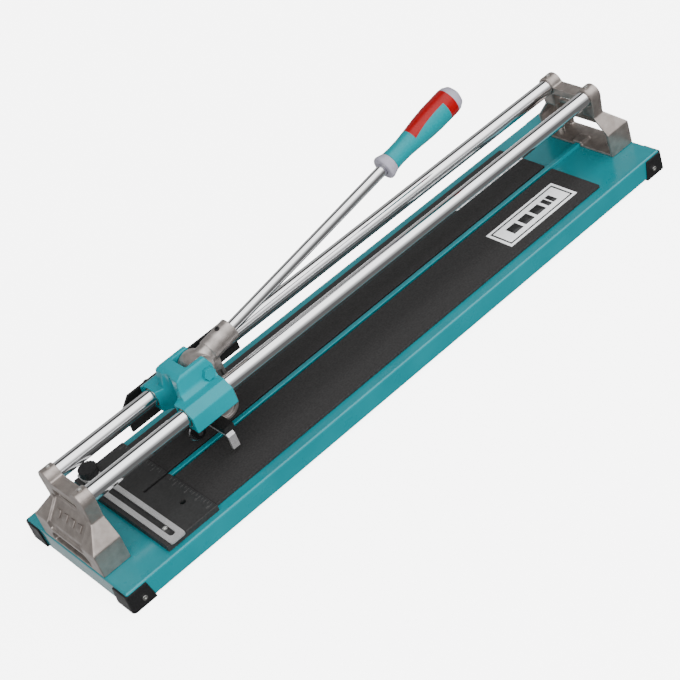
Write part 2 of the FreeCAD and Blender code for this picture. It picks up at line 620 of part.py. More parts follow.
def fence():
    """Black ruler plate across the base: a seat for the slotted rail, a groove for the wheel."""
    body = doc.addObject("PartDesign::Body", "fence")
    top = "plate_z + fence_thickness"
    outline = rectangle("fence_near_x", "fence_far_x", "-fence_half_width", "fence_half_width")
    extrude(body, "Pad", "fence_block", "XY", "plate_z", top, [outline])
    fillet(body, "fence_edges", "plate_sheet / 2", at_height(top))
    seat = rectangle("slot_rail_x - slot_rail_width / 2 - slot_rail_gap",
                     "slot_rail_x + slot_rail_width / 2 + slot_rail_gap",
                     "-fence_half_width - 1", "fence_half_width + 1")
    extrude(body, "Pocket", "rail_seat", "XY", top + " - slot_rail_seat", top, [seat])
    groove = rectangle("slot_rail_x + slot_rail_width", "fence_far_x + 1",
                       "-wheel_thickness", "wheel_thickness")
    extrude(body, "Pocket", "wheel_groove", "XY", top + " - groove_depth", top, [groove])
    guide_holes = [("fence_hole_x", "%d * fence_hole_y" % side, "fence_hole_diameter / 2")
                   for side in (-1, 1)]
    extrude(body, "Pocket", "guide_holes", "XY", "plate_z", top, circles=guide_holes)
    stud_holes = [("slot_rail_x", y, "stud_diameter / 2") for y in ("knob_y", "guide_pin_y")]
    extrude(body, "Pocket", "stud_holes", "XY", "plate_z + fence_floor", top, circles=stud_holes)
    fixing_holes = [("fence_screw_x", "%d * fence_screw_y" % side,
                     "bolt_diameter / 2 + fit_gap") for side in (-1, 1)]
    extrude(body, "Pocket", "fixing_holes", "XY", "plate_z", top + " - fence_skin",
            circles=fixing_holes)
    return node("fence", body)


def fence_screws():
    """Screws up through the plate into the fence."""
    screws = []
    for label, side in (("left", 1), ("right", -1)):
        item = screw("fence_screw_" + label, "bolt_head", "fence_screw_head_height",
                     "bolt_diameter", "plate_sheet + fence_thickness - fence_skin - seat_gap",
                     "fence_screw_key")
        screws.append(place(item, "fence_screw_x", "%d * fence_screw_y" % side,
                            "plate_z - plate_sheet", X_AXIS, 180))
    return group("fence_screws", screws)


def slotted_rail():
    """Zinc-plated bar with one long slot, which slides sideways on the fence."""
    body = doc.addObject("PartDesign::Body", "slotted_rail")
    heights = ("slot_rail_low_z", "slot_rail_high_z")
    outline = rectangle("slot_rail_x - slot_rail_width / 2", "slot_rail_x + slot_rail_width / 2",
                        "-slot_rail_half_length", "slot_rail_half_length")
    extrude(body, "Pad", "rail_bar", "XY", *heights, [outline])
    fillet(body, "rail_bar_corners", "slot_width / 2", upright)
    straight = "(slot_half_length - slot_width / 2)"
    slot = rectangle("slot_rail_x - slot_width / 2", "slot_rail_x + slot_width / 2",
                     "-" + straight, straight)
    extrude(body, "Pocket", "rail_slot", "XY", *heights, [slot])
    for label, sign in (("low", "-"), ("high", "")):
        extrude(body, "Pocket", "rail_slot_" + label, "XY", *heights,
                circles=[("slot_rail_x", sign + straight, "slot_width / 2")])
    return node("slotted_rail", body)


def knob_stud():
    """Steel stud fixed in the fence, which the knob turns on."""
    low = "plate_z + fence_floor"
    stud = cylinder("knob_stud", "stud_diameter / 2 - fit_gap",
                    "knob_z + knob_height - 2 * knob_roof - (%s)" % low, "slot_rail_x", "knob_y",
                    low)
    return node("knob_stud", stud)


def guide_pin():
    """Steel pin in the fence that keeps the far end of the slotted rail straight."""
    low, high = "plate_z + fence_floor", "plate_z + fence_thickness + guide_pin_lift + fence_floor"
    shank = cylinder("guide_pin_shank", "stud_diameter / 2 - fit_gap", "%s - (%s)" % (high, low),
                     "slot_rail_x", "guide_pin_y", low)
    socket = place(hexagon("guide_pin_socket", "set_screw_key", "set_screw_key_depth + 1"),
                   "slot_rail_x", "guide_pin_y", high + " - set_screw_key_depth")
    return node("guide_pin", cut("guide_pin", shank, socket))


def knob_washer():
    disc = cylinder("knob_washer_disc", "washer_diameter / 2", "washer_thickness", "slot_rail_x",
                    "knob_y", "slot_rail_high_z + seat_gap")
    bore = cylinder("knob_washer_bore", "stud_diameter / 2 + fit_gap", "washer_thickness + 2",
                    "slot_rail_x", "knob_y", "slot_rail_high_z - 1")
    return node("knob_washer", cut("knob_washer", disc, bore))


def rail_knob():
    """Round plastic knob with fluted sides and a collar under the grip."""
    collar = cylinder("knob_collar", "washer_diameter / 2", "knob_height / 3")
    grip = cylinder("knob_grip", "knob_diameter / 2", "knob_height * 2 / 3", z="knob_height / 3")
    ring = "(knob_diameter / 2 + flute_radius - flute_depth)"
    flutes = [cylinder("knob_flute_%d" % index, "flute_radius", "knob_height",
                       "%s * cos(%s)" % (ring, 360 * index / KNOB_FLUTES),
                       "%s * sin(%s)" % (ring, 360 * index / KNOB_FLUTES), "knob_height / 3 - 1")
              for index in range(KNOB_FLUTES)]
    bore = cylinder("knob_bore", "stud_diameter / 2 + running_gap - fit_gap",
                    "knob_height - knob_roof + 1", z=-1)
    knob = cut("rail_knob", fuse("knob_solid", collar, grip), bore, *flutes)
    return node("rail_knob", place(knob, "slot_rail_x", "knob_y", "knob_z"))


# Pads and the size label

def pad(label, side):
    """Soft pad that the tile rests on, beside the ridge."""
    body = doc.addObject("PartDesign::Body", label + "_pad")
    inner, outer = ("%d * pad_inner_y" % side, "%d * pad_outer_y" % side)[::side]
    outline = rectangle("fence_far_x + pad_gap", "pad_far_x", inner, outer)
    top = "plate_z + pad_thickness"
    extrude(body, "Pad", label + "_pad_block", "XY", "plate_z", top, [outline])
    fillet(body, label + "_pad_corners", "pad_thickness / 2", upright)
    fillet(body, label + "_pad_edges", "pad_thickness / 7", at_height(top))
    return node(label + "_pad", body)


def pad_label():
    """Thin label on the right pad."""
    corners = [("label_x %s label_length / 2" % along, "label_y %s label_width / 2" % across)
               for along, across in (("-", "-"), ("+", "-"), ("+", "+"), ("-", "+"))]
    low = "plate_z + pad_thickness"
    return node("pad_label", prism("pad_label", "XY", low, low + " + label_thickness", [corners]))


# Carriage

def carriage_body():
    """Cast slide: a sleeve on each rail and a turret with a pocket for the lever's hub."""
    side_z = "rail_z + side_lift"
    block = prism("carriage_block", "YZ", "carriage_near_x", "carriage_far_x", [[
        ("left_sleeve_y", "carriage_low_z"), ("left_sleeve_y", side_z),
        ("shelf_edge_y + left_sleeve_extra", "shelf_z"), ("-shelf_edge_y", "shelf_z"),
        ("-carriage_half_width", side_z), ("-carriage_half_width", "carriage_low_z")]])
    low = "carriage_low_z + turret_lift"
    nose_low = "cheek_z - cheek_lift - nose_drop"
    back = "pivot_x + turret_back"
    turret_side = [
        ("nose_x", low), ("carriage_far_x", low), ("carriage_far_x", "shelf_z"),
        (back, "pivot_z - nose_drop / 2"), (back, "pivot_z + nose_drop"),
        (back + " - nose_drop", "cheek_z"), ("nose_x + nose_length", "cheek_z"),
        ("nose_x + nose_length / 3", "cheek_z - nose_length / 3"), ("nose_x", nose_low)]
    flare_y, flare_z = "cheek_outer_y + cheek_flare", "shelf_z + cheek_flare"
    half_end = [(flare_y, low), (flare_y, "shelf_z"), ("cheek_outer_y", flare_z),
                ("cheek_outer_y", "cheek_z - cheek_round"),
                ("cheek_outer_y - cheek_round", "cheek_z")]
    turret = common("carriage_turret",
                    prism("carriage_turret_side", "XZ", "-carriage_half_width",
                          "carriage_half_width", [turret_side]),
                    prism("carriage_turret_end", "YZ", "nose_x - 1", "carriage_far_x + 1",
                          [half_end + [("-(%s)" % y, z) for y, z in reversed(half_end)]]))
    faces = [cylinder("carriage_bolt_face_" + label, "pivot_head_width / 2 + swing_gap",
                      "carriage_half_width", "pivot_x", start, "pivot_z", "Y")
             for label, start in (("left", "cheek_outer_y"),
                                  ("right", "-cheek_outer_y - carriage_half_width"))]
    pocket = box("carriage_pocket", ("pocket_x", "carriage_far_x + hub_radius"),
                 ("-cheek_inner_y", "cheek_inner_y"), ("carriage_low_z - 1", "cheek_z + 1"))
    valley = cylinder("carriage_valley", "sleeve_inner_y", "cheek_z - carriage_low_z + 2",
                      "carriage_near_x - valley_set", 0, "carriage_low_z - 1")
    holes = [cylinder("carriage_bore_" + label, "bush_radius + fit_gap", "carriage_length + 2",
                      "carriage_near_x - 1", "%d * rail_y" % way, "rail_z", "X")
             for label, way in (("left", 1), ("right", -1))]
    holes.append(cylinder("carriage_pivot_bore", "pivot_diameter / 2 + fit_gap",
                          "2 * cheek_outer_y + 2", "pivot_x", "-cheek_outer_y - 1", "pivot_z",
                          "Y"))
    holes += [cylinder("carriage_guard_hole_" + label, "guard_screw_diameter / 2 + fit_gap",
                       "guard_screw_grip + fit_gap + 1", x,
                       "left_sleeve_y - guard_screw_grip - fit_gap", "guard_screw_z", "Y")
              for label, x in GUARD_SCREWS]
    solid = fuse("carriage_solid", block, turret)
    return node("carriage_body", cut("carriage_body", solid, pocket, valley, *holes, *faces))


def rail_bushes():
    """Thin plain bushes pressed into both ends of each sleeve."""
    bushes = []
    for label, way in (("left", 1), ("right", -1)):
        for where, start in (("near", "carriage_near_x + bush_inset"),
                             ("far", "carriage_far_x - bush_inset - bush_length")):
            name = "bush_%s_%s" % (label, where)
            sleeve = cylinder(name + "_sleeve", "bush_radius", "bush_length", start,
                              "%d * rail_y" % way, "rail_z", "X")
            bore = cylinder(name + "_bore", "rail_diameter / 2 + running_gap", "bush_length + 2",
                            start + " - 1", "%d * rail_y" % way, "rail_z", "X")
            bushes.append(cut(name, sleeve, bore))
    return group("rail_bushes", bushes)


def pivot_bolt():
    """Hexagon bolt through both cheeks, headed on the right."""
    length = "(2 * cheek_outer_y + pivot_nut_height + thread_end)"
    head = hexagon("pivot_bolt_head", "pivot_head_width", "pivot_head_height")
    shank = cylinder("pivot_bolt_shank", "pivot_diameter / 2", length, z="-" + length)
    bolt = fuse("pivot_bolt", head, shank)
    return node("pivot_bolt", place(bolt, "pivot_x", "-cheek_outer_y", "pivot_z", X_AXIS, 90))


def pivot_nut():
    body = hexagon("pivot_nut_body", "pivot_head_width", "pivot_nut_height")
    bore = cylinder("pivot_nut_bore", "pivot_diameter / 2 + fit_gap", "pivot_nut_height + 2",
                    z=-1)
    nut = cut("pivot_nut", body, bore)
    return node("pivot_nut", place(nut, "pivot_x", "cheek_outer_y", "pivot_z", X_AXIS, -90))


# Lever, its pivot bush and the long handle

def handle_point(along):
    """The x, y and z of a point on the handle's axis, by its distance from the pivot."""
    return ("pivot_x - handle_lift * sin(handle_angle) + (%s) * cos(handle_angle)" % along, 0,
            "pivot_z + handle_lift * cos(handle_angle) + (%s) * sin(handle_angle)" % along)


def handle_place(item, along):
    """Stand the item, made up +Z, on the handle's axis at a distance along it."""
    return place(item, *handle_point(along), Y_AXIS, "90 - handle_angle")


def lever():
    """Cast lever: hub, handle socket, ribbed arm down between the rails and a toe."""
    thick = ("-arm_half_thickness", "arm_half_thickness")
    hub = cylinder("lever_hub", "hub_radius", "2 * hub_half_width", "pivot_x",
                   "-hub_half_width", "pivot_z", "Y")
    neck = handle_place(cylinder("lever_neck", "socket_neck", "socket_reach"), "0")
    socket = handle_place(cylinder("lever_socket", "socket_radius",
                                   "socket_reach - socket_start"), "socket_start")
    arm = box("lever_arm", ("arm_near_x", "arm_far_x"), thick, ("arm_low_z", "pivot_z"))
    arm_end = cylinder("lever_arm_end", "arm_width / 2", "2 * arm_half_thickness",
                       "arm_middle_x", "-arm_half_thickness", "arm_low_z", "Y")
    toe = box("lever_toe", ("toe_x", "arm_middle_x"), thick, ("toe_low_z", "toe_high_z"))
    solid = fuse("lever_solid", hub, neck, socket, arm, arm_end, toe)
    cuts = []
    for label, start in (("left", "arm_half_thickness - arm_web_depth"),
                         ("right", "-arm_half_thickness")):
        cuts.append(box("lever_web_" + label, ("arm_near_x + arm_rim", "arm_far_x - arm_rim"),
                        (start, start + " + arm_web_depth"),
                        ("arm_low_z", "pivot_z - hub_radius - arm_rim / 2")))
        cuts.append(cylinder("lever_web_end_" + label, "arm_width / 2 - arm_rim",
                             "arm_web_depth", "arm_middle_x", start, "arm_low_z", "Y"))
    cuts.append(cylinder("lever_bore", "hub_bush_radius", "2 * hub_half_width + 2", "pivot_x",
                         "-hub_half_width - 1", "pivot_z", "Y"))
    cuts.append(handle_place(cylinder("lever_rod_bore", "rod_diameter / 2 + fit_gap",
                                      "rod_seat + 1"), "socket_reach - rod_seat"))
    clamp_hole = cylinder("lever_clamp_hole", "set_screw_diameter / 2 + fit_gap",
                          "socket_radius + 1")
    cuts.append(place(clamp_hole, *handle_point(CLAMP_ALONG), Y_AXIS, "-handle_angle"))
    cuts.append(cylinder("lever_holder_hole", "holder_screw_diameter / 2 + fit_gap",
                         "holder_screw_grip + 2", "toe_x - 1", 0, "holder_screw_z", "X"))
    cuts.append(cylinder("lever_foot_hole", "foot_screw_diameter / 2 + fit_gap",
                         "foot_screw_grip + 2", "foot_x", 0, "toe_low_z - 1"))
    return node("lever", cut("lever", solid, *cuts))


def socket_screw():
    """Set screw down through the socket onto the handle rod."""
    low, high = "(rod_diameter / 2 + seat_gap)", "(socket_radius + set_screw_lift)"
    body = cylinder("socket_screw_body", "set_screw_diameter / 2", "%s - %s" % (high, low), z=low)
    socket = hexagon("socket_screw_socket", "set_screw_key", "set_screw_key_depth + 1",
                     high + " - set_screw_key_depth")
    item = cut("socket_screw", body, socket)
    return node("socket_screw", place(item, *handle_point(CLAMP_ALONG), Y_AXIS, "-handle_angle"))


def pivot_bush():
    """Plain bush between the hub and the pivot bolt."""
    sleeve = cylinder("pivot_bush_sleeve", "hub_bush_radius - fit_gap", "2 * hub_half_width",
                      "pivot_x", "-hub_half_width", "pivot_z", "Y")
    bore = cylinder("pivot_bush_bore", "pivot_diameter / 2 + running_gap",
                    "2 * hub_half_width + 2", "pivot_x", "-hub_half_width - 1", "pivot_z", "Y")
    return node("pivot_bush", cut("pivot_bush", sleeve, bore))


def handle_rod():
    rod = cylinder("handle_rod", "rod_diameter / 2",
                   "grip_body_start + rod_in_grip - socket_reach + rod_seat")
    return node("handle_rod", handle_place(rod, "socket_reach - rod_seat"))


def grip_collar():
    """Flanged plastic collar at the near end of the grip."""
    bore = "rod_diameter / 2 + fit_gap"
    chamfer = "collar_length / 8"
    collar = revolve("grip_collar", [
        (bore, 0), ("collar_radius - " + chamfer, 0), ("collar_radius", chamfer),
        ("collar_radius", "collar_length / 3"), ("grip_neck_radius", "collar_length"),
        (bore, "collar_length")])
    return node("grip_collar", handle_place(collar, "grip_start"))


def grip_profile(inset):
    """Outline of the grip's swell from its neck to its full radius, less an inset."""
    swell = "(grip_radius - grip_neck_radius)"
    shape = [(0, 0), (0.1, -0.12), (0.23, -0.05), (0.37, 0.24), (0.56, 0.72), (0.72, 0.95), (1, 1)]
    rim = [("grip_neck_radius + %s * %s - %s" % (swell, rise, inset), "%s * grip_length" % along)
           for along, rise in shape]
    return [(0, 0)] + rim + [(0, "grip_length")]


def grip_and_inlay():
    """Waisted grip with a coloured inlay, a strip and an end band, let into its skin."""
    full = revolve("grip_full", grip_profile("0"))
    core = revolve("grip_core", grip_profile("inlay_depth"))
    strip = box("grip_inlay_strip", ("0", "grip_radius + 2"), ("0", "2 * inlay_half_width"),
                ("inlay_lead", "grip_length + 1"))
    place(strip, "inlay_half_width * sin(inlay_turn)", "-inlay_half_width * cos(inlay_turn)",
          "inlay_lead", Z_AXIS, "inlay_turn")
    band = cylinder("grip_inlay_band", "grip_radius + 2", "inlay_band + 1",
                    z="grip_length - inlay_band")
    skin = cut("grip_skin", full, core)
    region = fuse("grip_inlay_region", strip, band)
    bore = cylinder("grip_bore", "rod_diameter / 2 + fit_gap", "rod_in_grip + 2", z=-1)
    inlay_room = common("grip_inlay_room", skin, region)
    node("grip_body", handle_place(cut("grip_body", full, inlay_room, bore), "grip_body_start"))
    inlay = common("grip_inlay", skin, region)
    node("grip_inlay", handle_place(inlay, "grip_body_start"))


def grip_cap():
    """Domed plastic cap on the end of the grip."""
    dome = revolve("grip_cap", [
        (0, 0), ("grip_radius - fit_gap", 0), ("grip_radius * 0.95", "grip_cap_length * 0.35"),
        ("grip_radius * 0.78", "grip_cap_length * 0.72"),
        ("grip_radius * 0.45", "grip_cap_length * 0.93"), (0, "grip_cap_length")])
    return node("grip_cap", handle_place(dome, "grip_body_start + grip_length"))


# Cutting wheel, its holder and the breaker foot

def wheel_holder():
    """Steel block on the lever's toe, forked at its foot for the wheel."""
    block = box("holder_block", ("holder_near_x", "toe_x - seat_gap"),
                ("-holder_half_width", "holder_half_width"), ("wheel_z", "toe_high_z"))
    foot = cylinder("holder_foot", "holder_radius", "2 * holder_half_width", "wheel_x",
                    "-holder_half_width", "wheel_z", "Y")
    gap = "(wheel_thickness / 2 + wheel_side_gap)"
    slot = box("holder_slot", ("holder_near_x - 1", "toe_x + 1"), ("-" + gap, gap),
               ("wheel_z - holder_radius - 1", "wheel_z + wheel_diameter / 2 + swing_gap"))
    relief = box("holder_relief", ("wheel_x + holder_radius", "toe_x + 1"),
                 ("-holder_half_width - 1", "holder_half_width + 1"),
                 ("wheel_z - 1", "toe_low_z - swing_gap"))
    axle_bore = cylinder("holder_axle_bore", "wheel_bore / 2", "2 * holder_half_width + 2",
                         "wheel_x", "-holder_half_width - 1", "wheel_z", "Y")
    screw_bore = cylinder("holder_screw_bore", "holder_screw_diameter / 2 + fit_gap",
                          "toe_x - holder_near_x + 2", "holder_near_x - 1", 0, "holder_screw_z",
                          "X")
    counterbore = cylinder("holder_counterbore", "holder_screw_head / 2 + swing_gap / 3",
                           "holder_counterbore + 1", "holder_near_x - 1", 0, "holder_screw_z",
                           "X")
    return node("wheel_holder", cut("wheel_holder", fuse("holder_solid", block, foot), slot,
                                    relief, axle_bore, screw_bore, counterbore))


def holder_screw():
    item = screw("holder_screw", "holder_screw_head", "holder_screw_head_height",
                 "holder_screw_diameter", "toe_x - holder_seat_x + holder_screw_grip",
                 "holder_screw_key")
    return node("holder_screw", place(item, "holder_seat_x", 0, "holder_screw_z", Y_AXIS, -90))


def wheel_axle():
    """Pin pressed into the fork, which the wheel turns on."""
    axle = cylinder("wheel_axle", "wheel_bore / 2 - running_gap", "2 * holder_half_width",
                    "wheel_x", "-holder_half_width", "wheel_z", "Y")
    return node("wheel_axle", axle)


def cutting_wheel():
    """Hard-metal scoring wheel, bevelled from both sides to its rim."""
    half, bore, rim = "wheel_thickness / 2", "wheel_bore / 2", "wheel_diameter / 2"
    body = revolve("cutting_wheel", [
        (bore, "-" + half), (rim + " - wheel_bevel", "-" + half), (rim, 0),
        (rim + " - wheel_bevel", half), (bore, half)])
    return node("cutting_wheel", place(body, "wheel_x", 0, "wheel_z", X_AXIS, 90))


def foot_bar():
    """Black bar across the toe's underside that backs the strip, notched round the arm's end."""
    bar = box("foot_bar_body", ("toe_x", "toe_x + foot_bar_width"),
              ("foot_bar_end - foot_crown_half", "foot_crown_half - foot_bar_end"),
              ("foot_bar_low_z", "foot_bar_high_z"))
    notch = box("foot_bar_notch", ("arm_near_x - seat_gap", "toe_x + foot_bar_width + 1"),
                ("-arm_half_thickness - seat_gap", "arm_half_thickness + seat_gap"),
                ("foot_bar_low_z - 1", "foot_bar_high_z + 1"))
    hole = cylinder("foot_bar_hole", "foot_screw_diameter / 2 + fit_gap", "foot_bar_height + 2",
                    "foot_x", 0, "foot_bar_low_z - 1")
    return node("foot_bar", cut("foot_bar", bar, notch, hole))


def breaker_foot():
    """Bent steel strip under the bar whose two ends press on the tile either side of the cut."""
    under = "foot_crown_z - foot_strip_thickness"
    half = [("foot_crown_half - foot_bend", "foot_crown_z"),
            ("foot_crown_half", "foot_crown_z - foot_bend"),
            ("foot_half_span", "foot_low_z"),
            ("foot_half_span - foot_strip_thickness", "foot_low_z"),
            ("foot_crown_half - foot_strip_thickness", under + " - foot_bend / 2"),
            ("foot_crown_half - foot_strip_thickness - foot_bend / 2", under)]
    strip = prism("foot_strip", "YZ", "toe_x", "toe_x + foot_strip_width",
                  [half + [("-(%s)" % y, z) for y, z in reversed(half)]])
    hole = cylinder("foot_hole", "foot_screw_diameter / 2 + fit_gap", "foot_strip_thickness + 2",
                    "foot_x", 0, under + " - 1")
    return node("breaker_foot", cut("breaker_foot", strip, hole))


def foot_screw():
    item = screw("foot_screw", "foot_screw_head", "foot_screw_head_height",
                 "foot_screw_diameter",
                 "foot_strip_thickness + foot_bar_height + foot_screw_grip", "foot_screw_key")
    return node("foot_screw", place(item, "foot_x", 0, "foot_crown_z - foot_strip_thickness",
                                    X_AXIS, 180))


# Side guard on the carriage's left

def side_guard():
    """Upright black plate beyond the left rail, its upper corners cut off."""
    corner_low = "guard_high_z - guard_corner"
    outline = [("guard_near_x", "guard_low_z"), ("guard_far_x", "guard_low_z"),
               ("guard_far_x", corner_low), ("guard_far_x - guard_corner", "guard_high_z"),
               ("guard_near_x + guard_corner", "guard_high_z"), ("guard_near_x", corner_low)]
    plate = prism("guard_plate", "XZ", "guard_y", "guard_y + guard_thickness", [outline])
    holes = [cylinder("guard_hole_" + label, "guard_screw_diameter / 2 + fit_gap",
                      "guard_thickness + 2", x, "guard_y - 1", "guard_screw_z", "Y")
             for label, x in GUARD_SCREWS]
    return node("side_guard", cut("side_guard", plate, *holes))


def guard_spacers():
    spacers = []
    for label, x in GUARD_SCREWS:
        name = "guard_spacer_" + label
        body = cylinder(name + "_body", "spacer_diameter / 2", "spacer_length", x,
                        "left_sleeve_y", "guard_screw_z", "Y")
        bore = cylinder(name + "_bore", "guard_screw_diameter / 2 + fit_gap",
                        "spacer_length + 2", x, "left_sleeve_y - 1", "guard_screw_z", "Y")
        spacers.append(cut(name, body, bore))
    return group("guard_spacers", spacers)


def guard_screws():
    screws = []
    for label, x in GUARD_SCREWS:
        item = screw("guard_screw_" + label, "guard_screw_head", "guard_screw_head_height",
                     "guard_screw_diameter", "guard_thickness + spacer_length + guard_screw_grip",
                     "guard_screw_key")
        screws.append(place(item, x, "guard_y + guard_thickness", "guard_screw_z", X_AXIS, -90))
    return group("guard_screws", screws)


base_plate()
for corner in CORNERS:
    corner_cap(*corner)
cap_screws()
for label, end in (("fence", -1), ("far", 1)):
    bracket(label, end)
for label, side in (("left", 1), ("right", -1)):
    rail(label, side)
    pad(label, side)
rail_set_screws()
bracket_bolts()
bracket_nuts()
fence()
fence_screws()
slotted_rail()
knob_stud()
guide_pin()
knob_washer()
rail_knob()
pad_label()
carriage_body()
rail_bushes()
pivot_bolt()
pivot_nut()
lever()
socket_screw()
pivot_bush()
handle_rod()
grip_collar()
grip_and_inlay()
grip_cap()
wheel_holder()
holder_screw()
wheel_axle()
cutting_wheel()
foot_bar()
breaker_foot()
foot_screw()
side_guard()
guard_spacers()
guard_screws()
doc.recompute()

for item in doc.Objects:
    if "Invalid" in item.State or "Error" in item.State:
        raise RuntimeError("%s failed: %s" % (item.Label, item.State))
for item in nodes:
    if item.Shape.isNull() or not item.Shape.isValid() or not item.Shape.Solids:
        raise RuntimeError(item.Label + " has no valid solid")

os.makedirs("parts", exist_ok=True)
for item in nodes:
    item.Shape.exportStep("parts/%s.step" % item.Label)
print("wrote %d parts" % len(nodes))
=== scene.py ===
import json
import math

import bmesh
import bpy
from mathutils import Euler, Matrix, Vector

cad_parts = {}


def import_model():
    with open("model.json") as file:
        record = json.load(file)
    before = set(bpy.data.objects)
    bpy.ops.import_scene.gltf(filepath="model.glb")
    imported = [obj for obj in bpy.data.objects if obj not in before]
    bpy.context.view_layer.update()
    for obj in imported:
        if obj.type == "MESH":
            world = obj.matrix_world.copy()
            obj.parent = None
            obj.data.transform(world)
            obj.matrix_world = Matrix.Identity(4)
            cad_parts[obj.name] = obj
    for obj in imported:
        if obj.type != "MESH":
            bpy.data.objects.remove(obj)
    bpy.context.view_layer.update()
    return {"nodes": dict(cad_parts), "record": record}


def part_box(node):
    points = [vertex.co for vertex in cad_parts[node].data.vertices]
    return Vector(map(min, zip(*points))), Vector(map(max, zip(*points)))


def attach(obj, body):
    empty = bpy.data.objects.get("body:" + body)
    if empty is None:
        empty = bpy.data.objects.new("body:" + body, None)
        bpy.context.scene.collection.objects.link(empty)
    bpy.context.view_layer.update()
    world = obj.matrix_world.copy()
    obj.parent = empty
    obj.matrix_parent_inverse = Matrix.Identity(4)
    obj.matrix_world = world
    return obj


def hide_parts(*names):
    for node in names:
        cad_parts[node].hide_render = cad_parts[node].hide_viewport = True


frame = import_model()
NODES = frame["nodes"]
RECORD = frame["record"]
SLOT = {part["node"]: part["material_slot"] for part in RECORD["subparts"]}
BODY = {node: body for body, nodes in RECORD["behaviour"]["bodies"].items() for node in nodes}
MM = 0.001


# Finishes

class Finish:
    """A material that starts as one shader and gets its colour, gloss and grain from noise."""

    def __init__(self, name, roughness, metallic=0.0, **sockets):
        self.material = bpy.data.materials.new(name)
        self.material.use_nodes = True
        self.tree = self.material.node_tree
        self.shader = self.tree.nodes["Principled BSDF"]
        self.place = self.add("TexCoord").outputs["Object"]
        self.bump = None
        values = {"Roughness": roughness, "Metallic": metallic, **sockets}
        for socket, value in values.items():
            self.shader.inputs[socket].default_value = value

    def add(self, kind, inputs=None, **settings):
        """A node with its settings; an input is a value or another node's output."""
        made = self.tree.nodes.new("ShaderNode" + kind)
        for name, value in settings.items():
            setattr(made, name, value)
        for name, value in (inputs or {}).items():
            if isinstance(value, bpy.types.NodeSocket):
                self.tree.links.new(value, made.inputs[name])
            else:
                made.inputs[name].default_value = value
        return made

    def noise(self, size, detail=3.0, stretch=(1, 1, 1), roughness=0.5):
        """Noise whose features are about the size, in metres, longer along a stretched axis."""
        scale = [1 / (size * along) for along in stretch]
        mapping = self.add("Mapping", {"Vector": self.place, "Scale": scale})
        return self.add("TexNoise", {"Vector": mapping.outputs["Vector"], "Scale": 1.0,
                                     "Detail": detail, "Roughness": roughness}).outputs["Fac"]

    def spread(self, value, low, high, to_low=0.0, to_high=1.0):
        return self.add("MapRange", {"Value": value, "From Min": low, "From Max": high,
                                     "To Min": to_low, "To Max": to_high}).outputs["Result"]

    def mix(self, factor, first, second):
        """A colour between two; the mixer's colour sockets have to be taken by number."""
        mixer = self.add("Mix", data_type="RGBA")
        for index, value in ((0, factor), (6, first), (7, second)):
            if isinstance(value, bpy.types.NodeSocket):
                self.tree.links.new(value, mixer.inputs[index])
            else:
                mixer.inputs[index].default_value = value
        return mixer.outputs[2]

    def colour(self, value):
        self.tree.links.new(value, self.shader.inputs["Base Color"])
        return self

    def gloss(self, size, low, high, stretch=(1, 1, 1)):
        """Roughness that wanders between two values."""
        value = self.spread(self.noise(size, 4.0, stretch), 0.3, 0.7, low, high)
        self.tree.links.new(value, self.shader.inputs["Roughness"])
        return self

    def grain(self, height, depth):
        """Relief of a depth in metres, added to any that is there already."""
        inputs = {"Height": height, "Distance": depth, "Strength": 1.0}
        if self.bump:
            inputs["Normal"] = self.bump
        self.bump = self.add("Bump", inputs).outputs["Normal"]
        self.tree.links.new(self.bump, self.shader.inputs["Normal"])
        return self


def tint(red, green, blue):
    return (red, green, blue, 1.0)


def teal_paint(name, deep, pale, gloss, coat):
    """Powder-coated teal with a faint orange-peel skin."""
    finish = Finish(name, gloss, **{
        "Coat Weight": coat, "Coat Roughness": 0.12, "Specular IOR Level": 0.2})
    clouds = finish.spread(finish.noise(60 * MM), 0.35, 0.65)
    finish.colour(finish.mix(clouds, deep, pale))
    finish.gloss(25 * MM, gloss - 0.05, gloss + 0.07)
    return finish.grain(finish.noise(1.4 * MM, 2.0), 0.02 * MM).material


def cast_metal(name, dark, light, roughness, grain_depth):
    """Cast metal under a thin lacquer: mottled, with a fine sandy skin."""
    finish = Finish(name, roughness, 0.85, **{"Coat Weight": 0.1, "Coat Roughness": 0.3})
    clouds = finish.spread(finish.noise(9 * MM, 5.0), 0.3, 0.7)
    finish.colour(finish.mix(clouds, dark, light))
    finish.gloss(5 * MM, roughness - 0.08, roughness + 0.1)
    finish.grain(finish.noise(0.9 * MM, 4.0, roughness=0.65), grain_depth)
    return finish.material


def drawn_metal(name, colour, roughness, stretch, depth):
    """Polished or drawn metal with fine lines along one direction."""
    finish = Finish(name, roughness, 1.0)
    lines = finish.noise(0.5 * MM, 3.0, stretch)
    darker = 0.86
    shade = tint(*(darker * part for part in colour[:3]))
    finish.colour(finish.mix(finish.spread(lines, 0.3, 0.7), shade, colour))
    finish.gloss(1.5 * MM, roughness * 0.75, roughness * 1.3, stretch)
    return finish.grain(lines, depth).material


def plated(name, dark, light):
    """Dull zinc plate with a close sparkle of fine crystals."""
    finish = Finish(name, 0.42, 0.75)
    sparkle = finish.spread(finish.noise(0.8 * MM, 2.0), 0.35, 0.65)
    finish.colour(finish.mix(sparkle, dark, light))
    finish.gloss(2 * MM, 0.34, 0.5)
    return finish.grain(finish.noise(0.5 * MM, 2.0), 0.03 * MM).material


def moulded(name, dark, light, roughness, size=0.6 * MM, depth=0.03 * MM):
    """Moulded rubber or plastic with a fine pebbled skin."""
    finish = Finish(name, roughness, **{"Specular IOR Level": 0.25})
    finish.colour(finish.mix(finish.spread(finish.noise(size * 3, 4.0), 0.35, 0.65), dark, light))
    finish.gloss(8 * MM, roughness - 0.06, roughness + 0.08)
    return finish.grain(finish.noise(size, 3.0), depth).material


